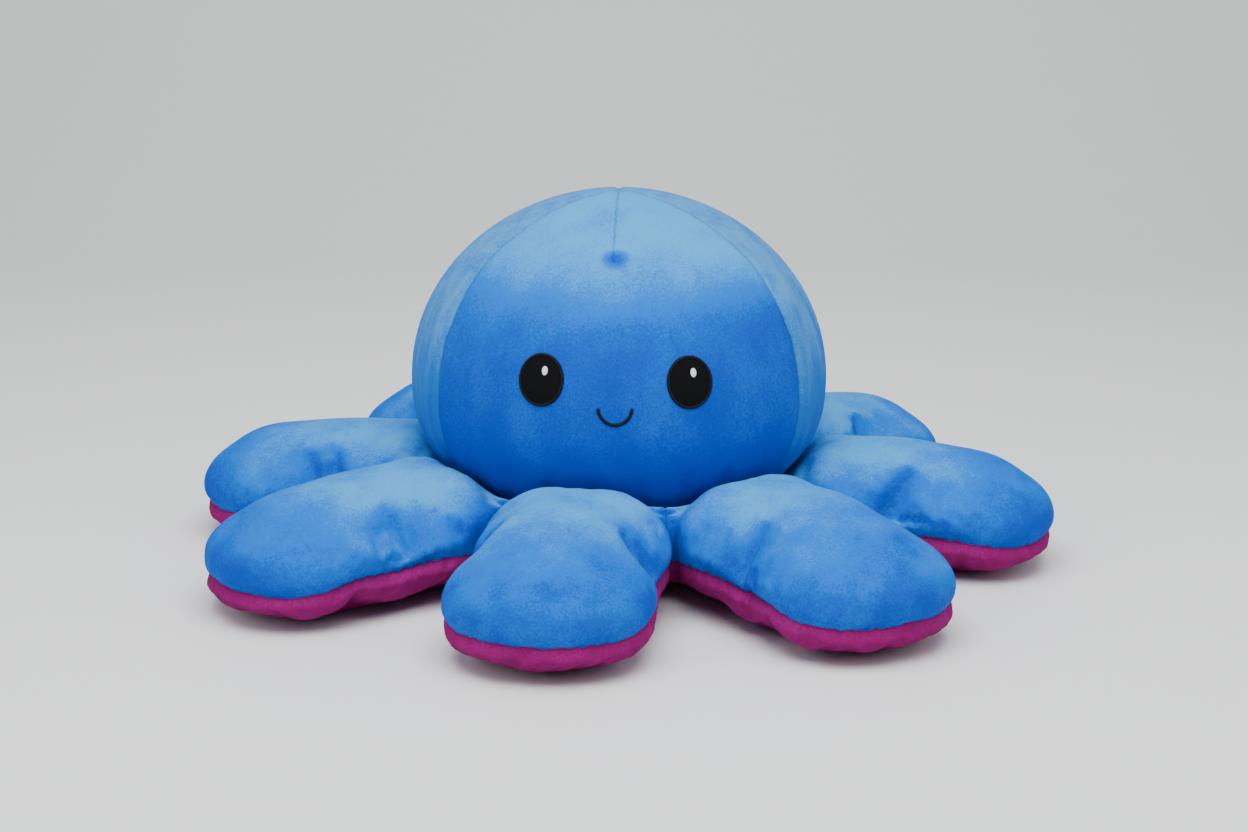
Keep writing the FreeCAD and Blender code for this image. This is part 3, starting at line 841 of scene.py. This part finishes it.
def make_face(head):
    """The eyes and the smile, sewn on the head's front."""
    made = {}
    line = oval_line(EYE_HALF_WIDE - BORDER_WIDTH / 2, EYE_HALF_TALL - BORDER_WIDTH / 2)
    for side, (x, z) in EYES.items():
        ground = OnHead(head, x, z)
        eye = f"eye_{side}"
        patch = oval_patch(f"{eye}_cloth", ground, EYE_HALF_WIDE, EYE_HALF_TALL, PATCH_HEIGHT, PATCH_DOME)
        border = satin_stitch(f"{eye}_satin", ground, line, BORDER_WIDTH, BORDER_HEIGHT, True)
        sizes = GLINT_HALF_WIDE, GLINT_HALF_TALL, GLINT_HEIGHT
        glint = satin_oval(f"{eye}_sparkle", ground, GLINT_OFFSET, *sizes)
        made[patch] = f"{eye}_patch", "black_cloth"
        made[border] = f"{eye}_border", "black_thread"
        made[glint] = f"{eye}_glint", "white_thread"
    ground = OnHead(head, (SMILE_LEFT + SMILE_RIGHT) / 2, SMILE_LEVEL)
    half = (SMILE_RIGHT - SMILE_LEFT) / 2
    turns = np.linspace(math.pi, math.tau, 60)
    line = [(half * math.cos(t), SMILE_DROP * math.sin(t)) for t in turns]
    smile = satin_stitch("smile_satin", ground, line, SMILE_WIDTH, SMILE_HEIGHT, False)
    made[smile] = "smile", "black_thread"
    return made


# ------------------------------------------------------------------ finishes


def colour(red, green, blue):
    """A colour given as a screen shows it."""
    shares = (c / 255 for c in (red, green, blue))
    return [c / 12.92 if c <= 0.04045 else ((c + 0.055) / 1.055) ** 2.4 for c in shares] + [1.0]


class Finish:
    """A material built node by node; each step returns a socket to use in the next one."""

    def __init__(self, name):
        self.material = bpy.data.materials.new(name)
        self.material.use_nodes = True
        self.tree = self.material.node_tree
        self.shader = self.tree.nodes["Principled BSDF"]
        self.place = self.node("ShaderNodeTexCoord", output="Object")

    def node(self, kind, inputs=None, output=0, **settings):
        made = self.tree.nodes.new(kind)
        for name, value in settings.items():
            setattr(made, name, value)
        for key, value in (inputs or {}).items():
            if isinstance(value, bpy.types.NodeSocket):
                self.tree.links.new(value, made.inputs[key])
            else:
                made.inputs[key].default_value = value
        return made.outputs[output]

    def math(self, operation, *values):
        return self.node("ShaderNodeMath", dict(enumerate(values)), operation=operation)

    def stretched(self, x, y, z):
        return self.node("ShaderNodeMapping", {"Vector": self.place, "Scale": (x, y, z)})

    def noise(self, scale, detail=3, roughness=0.5, at=None):
        inputs = {"Vector": at or self.place, "Scale": scale, "Detail": detail, "Roughness": roughness}
        return self.node("ShaderNodeTexNoise", inputs)

    def slope(self, value, low, high, start=0.0, end=1.0):
        """Runs smoothly from start to end as the value goes from low to high."""
        inputs = {0: value, 1: low, 2: high, 3: start, 4: end}
        return self.node("ShaderNodeMapRange", inputs, interpolation_type="SMOOTHSTEP")

    def mix(self, share, a, b):
        return self.node("ShaderNodeMix", {0: share, 6: a, 7: b}, output=2, data_type="RGBA")

    def surface(self, base, normal, **values):
        """Connects the shader's colour and normal, and sets its other inputs, given as their_names."""
        self.tree.links.new(base, self.shader.inputs["Base Color"])
        self.tree.links.new(normal, self.shader.inputs["Normal"])
        for name, value in values.items():
            self.shader.inputs[name.replace("_", " ")].default_value = value
        return self.material

    def bump(self, height, distance, strength=1.0, under=None):
        inputs = {"Height": height, "Distance": distance, "Strength": strength}
        if under:
            inputs["Normal"] = under
        return self.node("ShaderNodeBump", inputs)


def pile(finish):
    """The bump of short pile: clumps of fibres, and the fibres."""
    clumps = finish.bump(finish.noise(420, 3, 0.6), 0.0005, 0.55)
    return finish.bump(finish.noise(2400, 2, 0.6), 0.0002, 0.6, clumps)


def seam_line(finish, tone):
    """Darkens the tone in the stitched line."""
    gap = finish.node("ShaderNodeAttribute", output="Fac", attribute_name="seam_gap")
    share = finish.slope(gap, 0.0002, 0.0018, 0.5, 0.0)
    return finish.mix(share, tone, finish.mix(0.6, tone, (0.0, 0.0, 0.0, 1.0)))


def velvet(name, light, middle, deep, paint_light_and_shade, streaks, sheen, feathering=0.62, brushing=0.4):
    """Short-pile velvet with painted light and shade: the given function paints its tone lighter where
    light falls on it, darker where shade falls.
    """
    finish = Finish(name)
    facing = finish.node("ShaderNodeNewGeometry", output="Normal")
    value = paint_light_and_shade(finish, finish.node("ShaderNodeSeparateXYZ", {0: facing}, output="Z"))
    feathers = finish.noise(15, 9, 0.6)
    strokes = finish.noise(26, 6, 0.6, finish.stretched(*streaks))
    value = finish.math("MULTIPLY_ADD", finish.math("SUBTRACT", feathers, 0.5), feathering, value)
    value = finish.math("MULTIPLY_ADD", finish.math("SUBTRACT", strokes, 0.5), brushing, value)
    grain = finish.math("MULTIPLY", finish.math("SUBTRACT", finish.noise(430, 3, 0.75), 0.5), 0.75)
    value = finish.math("ADD", value, grain)
    # painted shade at low values, the cloth's own tone between, painted light at high values
    tone = finish.mix(finish.slope(value, 0.0, 0.5), deep, middle)
    tone = finish.mix(finish.slope(value, 0.46, 1.0), tone, light)
    return finish.surface(
        seam_line(finish, tone),
        pile(finish),
        Roughness=0.85,
        Sheen_Weight=sheen,
        Sheen_Roughness=0.38,
        Sheen_Tint=middle,
        Specular_IOR_Level=0.08,
    )


# each of these paints light and shade into the velvet's tone: lighter where light falls, darker where
# shade falls; up is how far the surface faces upward


def height_of(finish):
    return finish.node("ShaderNodeSeparateXYZ", {0: finish.place}, output="Z")


def radius_of(finish):
    flat = finish.stretched(1, 1, 0)
    return finish.node("ShaderNodeVectorMath", {0: flat}, output="Value", operation="LENGTH")


def face_light_and_shade(finish, up):
    """Painted light over the crown, the face's own saturated blue between, painted shade at the foot and
    a painted shade spot at the dart's end.
    """
    rise = finish.slope(height_of(finish), 0.248, 0.325, 0.0, 0.74)
    foot = finish.slope(height_of(finish), 0.07, 0.17, -0.34, 0.0)
    # a painted shade spot at the dart's end
    dart_end = (-0.003, -0.134, 0.311)
    between = {0: finish.place, 1: dart_end}
    gap = finish.node("ShaderNodeVectorMath", between, output="Value", operation="DISTANCE")
    spot = finish.slope(gap, 0.006, 0.018, -0.75, 0.0)
    return finish.math("ADD", finish.math("ADD", rise, foot), finish.math("ADD", spot, 0.15))


# painted light and shade on the head's sides: lighter higher up, darker at the foot
def flank_light_and_shade(finish, up):
    rise = finish.slope(height_of(finish), 0.12, 0.31, 0.0, 0.42)
    foot = finish.slope(height_of(finish), 0.07, 0.15, -0.3, 0.0)
    return finish.math("ADD", finish.math("ADD", rise, foot), 0.4)


# painted light on the arms: lighter where they face up, less so towards the tips
def arm_light_and_shade(finish, up):
    top = finish.slope(up, 0.25, 0.95, 0.0, 0.68)
    tip = finish.slope(radius_of(finish), 0.27, 0.41, 1.0, 0.3)
    return finish.math("MULTIPLY_ADD", top, tip, 0.17)


# painted light and shade on the magenta: lighter where it faces up, darker where it faces down
def under_light_and_shade(finish, up):
    return finish.slope(up, -0.6, 0.4, 0.32, 0.6)


def felt(name, tone):
    finish = Finish(name)
    fuzz = finish.noise(900, 4, 0.7)
    base = finish.mix(fuzz, [c * 0.6 for c in tone[:3]] + [1.0], tone)
    return finish.surface(base, finish.bump(fuzz, 0.0003, 0.8), Roughness=0.95, Specular_IOR_Level=0.15)


def thread(name, tone, roughness):
    finish = Finish(name)
    twist = finish.noise(2600, 2, 0.6)
    base = finish.mix(twist, [c * 0.8 for c in tone[:3]] + [1.0], tone)
    normal = finish.bump(twist, 0.0001, 0.6)
    return finish.surface(base, normal, Roughness=roughness, Specular_IOR_Level=0.25)


def paper(name):
    finish = Finish(name)
    grain = finish.noise(60, 4, 0.6)
    base = finish.mix(grain, colour(238, 239, 240), colour(242, 243, 244))
    return finish.surface(base, finish.bump(grain, 0.0001, 0.1), Roughness=0.6)


# each palette is a painted lit tone, the cloth's own tone and a painted shaded tone
BLUES = colour(66, 156, 218), colour(0, 106, 208), colour(0, 68, 176)
FLANK_BLUES = colour(80, 148, 202), colour(10, 108, 196), colour(0, 68, 170)
MAGENTAS = colour(156, 34, 124), colour(130, 14, 94), colour(100, 4, 74)


def dress(pieces, material):
    for piece in pieces:
        piece.data.materials.append(material)


# ------------------------------------------------------------------ the object

for leftover in ("Cube", "Light", "Camera"):
    if leftover in bpy.data.objects:
        bpy.data.objects.remove(bpy.data.objects[leftover])

arms, star_pieces = make_star()
head_pieces = make_head()
lining_pieces = make_lining()
face_pieces = make_face(head_pieces["head_front_velvet"])

tops = [star_pieces[arm.body + "_velvet_top"] for arm in arms]
undersides = [star_pieces[arm.body + "_velvet_underside"] for arm in arms]
for arm, top, underside in zip(arms, tops, undersides):
    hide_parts(arm.body + "_top", arm.body + "_filling")
    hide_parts(arm.body + "_bottom")
    for piece in (top, underside):
        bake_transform(piece)
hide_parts("star_top_centre", "star_centre_filling")
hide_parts("star_bottom_centre")

for name, piece in head_pieces.items():
    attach(piece, "body")
    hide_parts(name.replace("_velvet", "_panel"))
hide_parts("head_filling")
for name, piece in lining_pieces.items():
    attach(piece, "body")
    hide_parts(name.replace("_velvet", "_panel"))

# the velvets' tones carry painted light and shade from the functions passed to them
face = velvet("face velvet", *BLUES, face_light_and_shade, streaks=(1, 1, 0.25), sheen=0.25)
dress([head_pieces["head_front_velvet"]], face)
flanks = [head_pieces["head_right_velvet"], head_pieces["head_left_velvet"]]
brushed_and_lit = velvet(
    "flank velvet", *FLANK_BLUES, flank_light_and_shade, (2.2, 2.2, 0.2), sheen=0.3, feathering=0.5, brushing=0.8
)
dress(flanks, brushed_and_lit)
mottled_and_lit = velvet(
    "arm velvet", *BLUES, arm_light_and_shade, (0.9, 0.9, 0.9), sheen=0.25, feathering=0.85, brushing=0.7
)
dress(tops, mottled_and_lit)
magenta = velvet("magenta velvet", *MAGENTAS, under_light_and_shade, (0.7, 0.7, 0.7), sheen=0.2)
dress(undersides, magenta)
dress(lining_pieces.values(), magenta)
face_finishes = {
    "black_cloth": felt("black felt", colour(11, 11, 13)),
    "black_thread": thread("black thread", colour(7, 7, 8), 0.7),
    "white_thread": thread("white thread", colour(246, 246, 246), 0.5),
}
for piece, (node, slot) in face_pieces.items():
    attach(piece, "body")
    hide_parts(node)
    dress([piece], face_finishes[slot])


# ------------------------------------------------------------------ the stage


def sweep():
    """A paper sweep: floor, a wide curve and the wall behind."""
    front, bend, radius, tall, half = -7.0, 1.6, 1.6, 6.0, 9.0
    line = [(front, 0.0), (bend, 0.0)]
    turns = np.linspace(0, math.pi / 2, 33)[1:]
    line += [(bend + radius * math.sin(t), radius * (1 - math.cos(t))) for t in turns]
    line.append((bend + radius, tall))
    points = [(x, y, z) for y, z in line for x in (-half, half)]
    faces = [(2 * i, 2 * i + 1, 2 * i + 3, 2 * i + 2) for i in range(len(line) - 1)]
    return smooth(new_object("paper_sweep", points, faces))


def lamp(name, place, target, size, power):
    data = bpy.data.lights.new(name, "AREA")
    data.shape = "RECTANGLE"
    data.size, data.size_y = size
    data.energy = power
    obj = bpy.data.objects.new(name, data)
    obj.location = place
    obj.rotation_euler = (Vector(target) - Vector(place)).to_track_quat("-Z", "Y").to_euler()
    bpy.context.scene.collection.objects.link(obj)


stage = sweep()
stage.data.materials.append(paper("studio paper"))

middle = (0, 0, 0.15)
lamp("overhead softbox", (0, -1.0, 2.2), middle, (2.2, 1.8), 82)
lamp("left softbox", (-2.4, -1.6, 1.6), middle, (1.6, 1.6), 24)
lamp("right softbox", (2.4, -1.4, 1.7), middle, (1.6, 1.6), 19)
lamp("wall light", (0, 0.4, 3.2), (0, 3.2, 1.0), (1.8, 0.8), 28)

world = bpy.context.scene.world or bpy.data.worlds.new("world")
bpy.context.scene.world = world
world.use_nodes = True
world.node_tree.nodes["Background"].inputs["Color"].default_value = (0.9, 0.92, 0.95, 1)
world.node_tree.nodes["Background"].inputs["Strength"].default_value = 0.28

camera_data = bpy.data.cameras.new("camera")
camera_data.lens = 61.7
camera = bpy.data.objects.new("camera", camera_data)
aim, distance, elevation = Vector((0.005, 0, 0.133)), 2.15, math.radians(14)
camera.location = aim + distance * Vector((0, -math.cos(elevation), math.sin(elevation)))
camera.rotation_euler = (aim - camera.location).to_track_quat("-Z", "Y").to_euler()
bpy.context.scene.collection.objects.link(camera)
bpy.context.scene.camera = camera
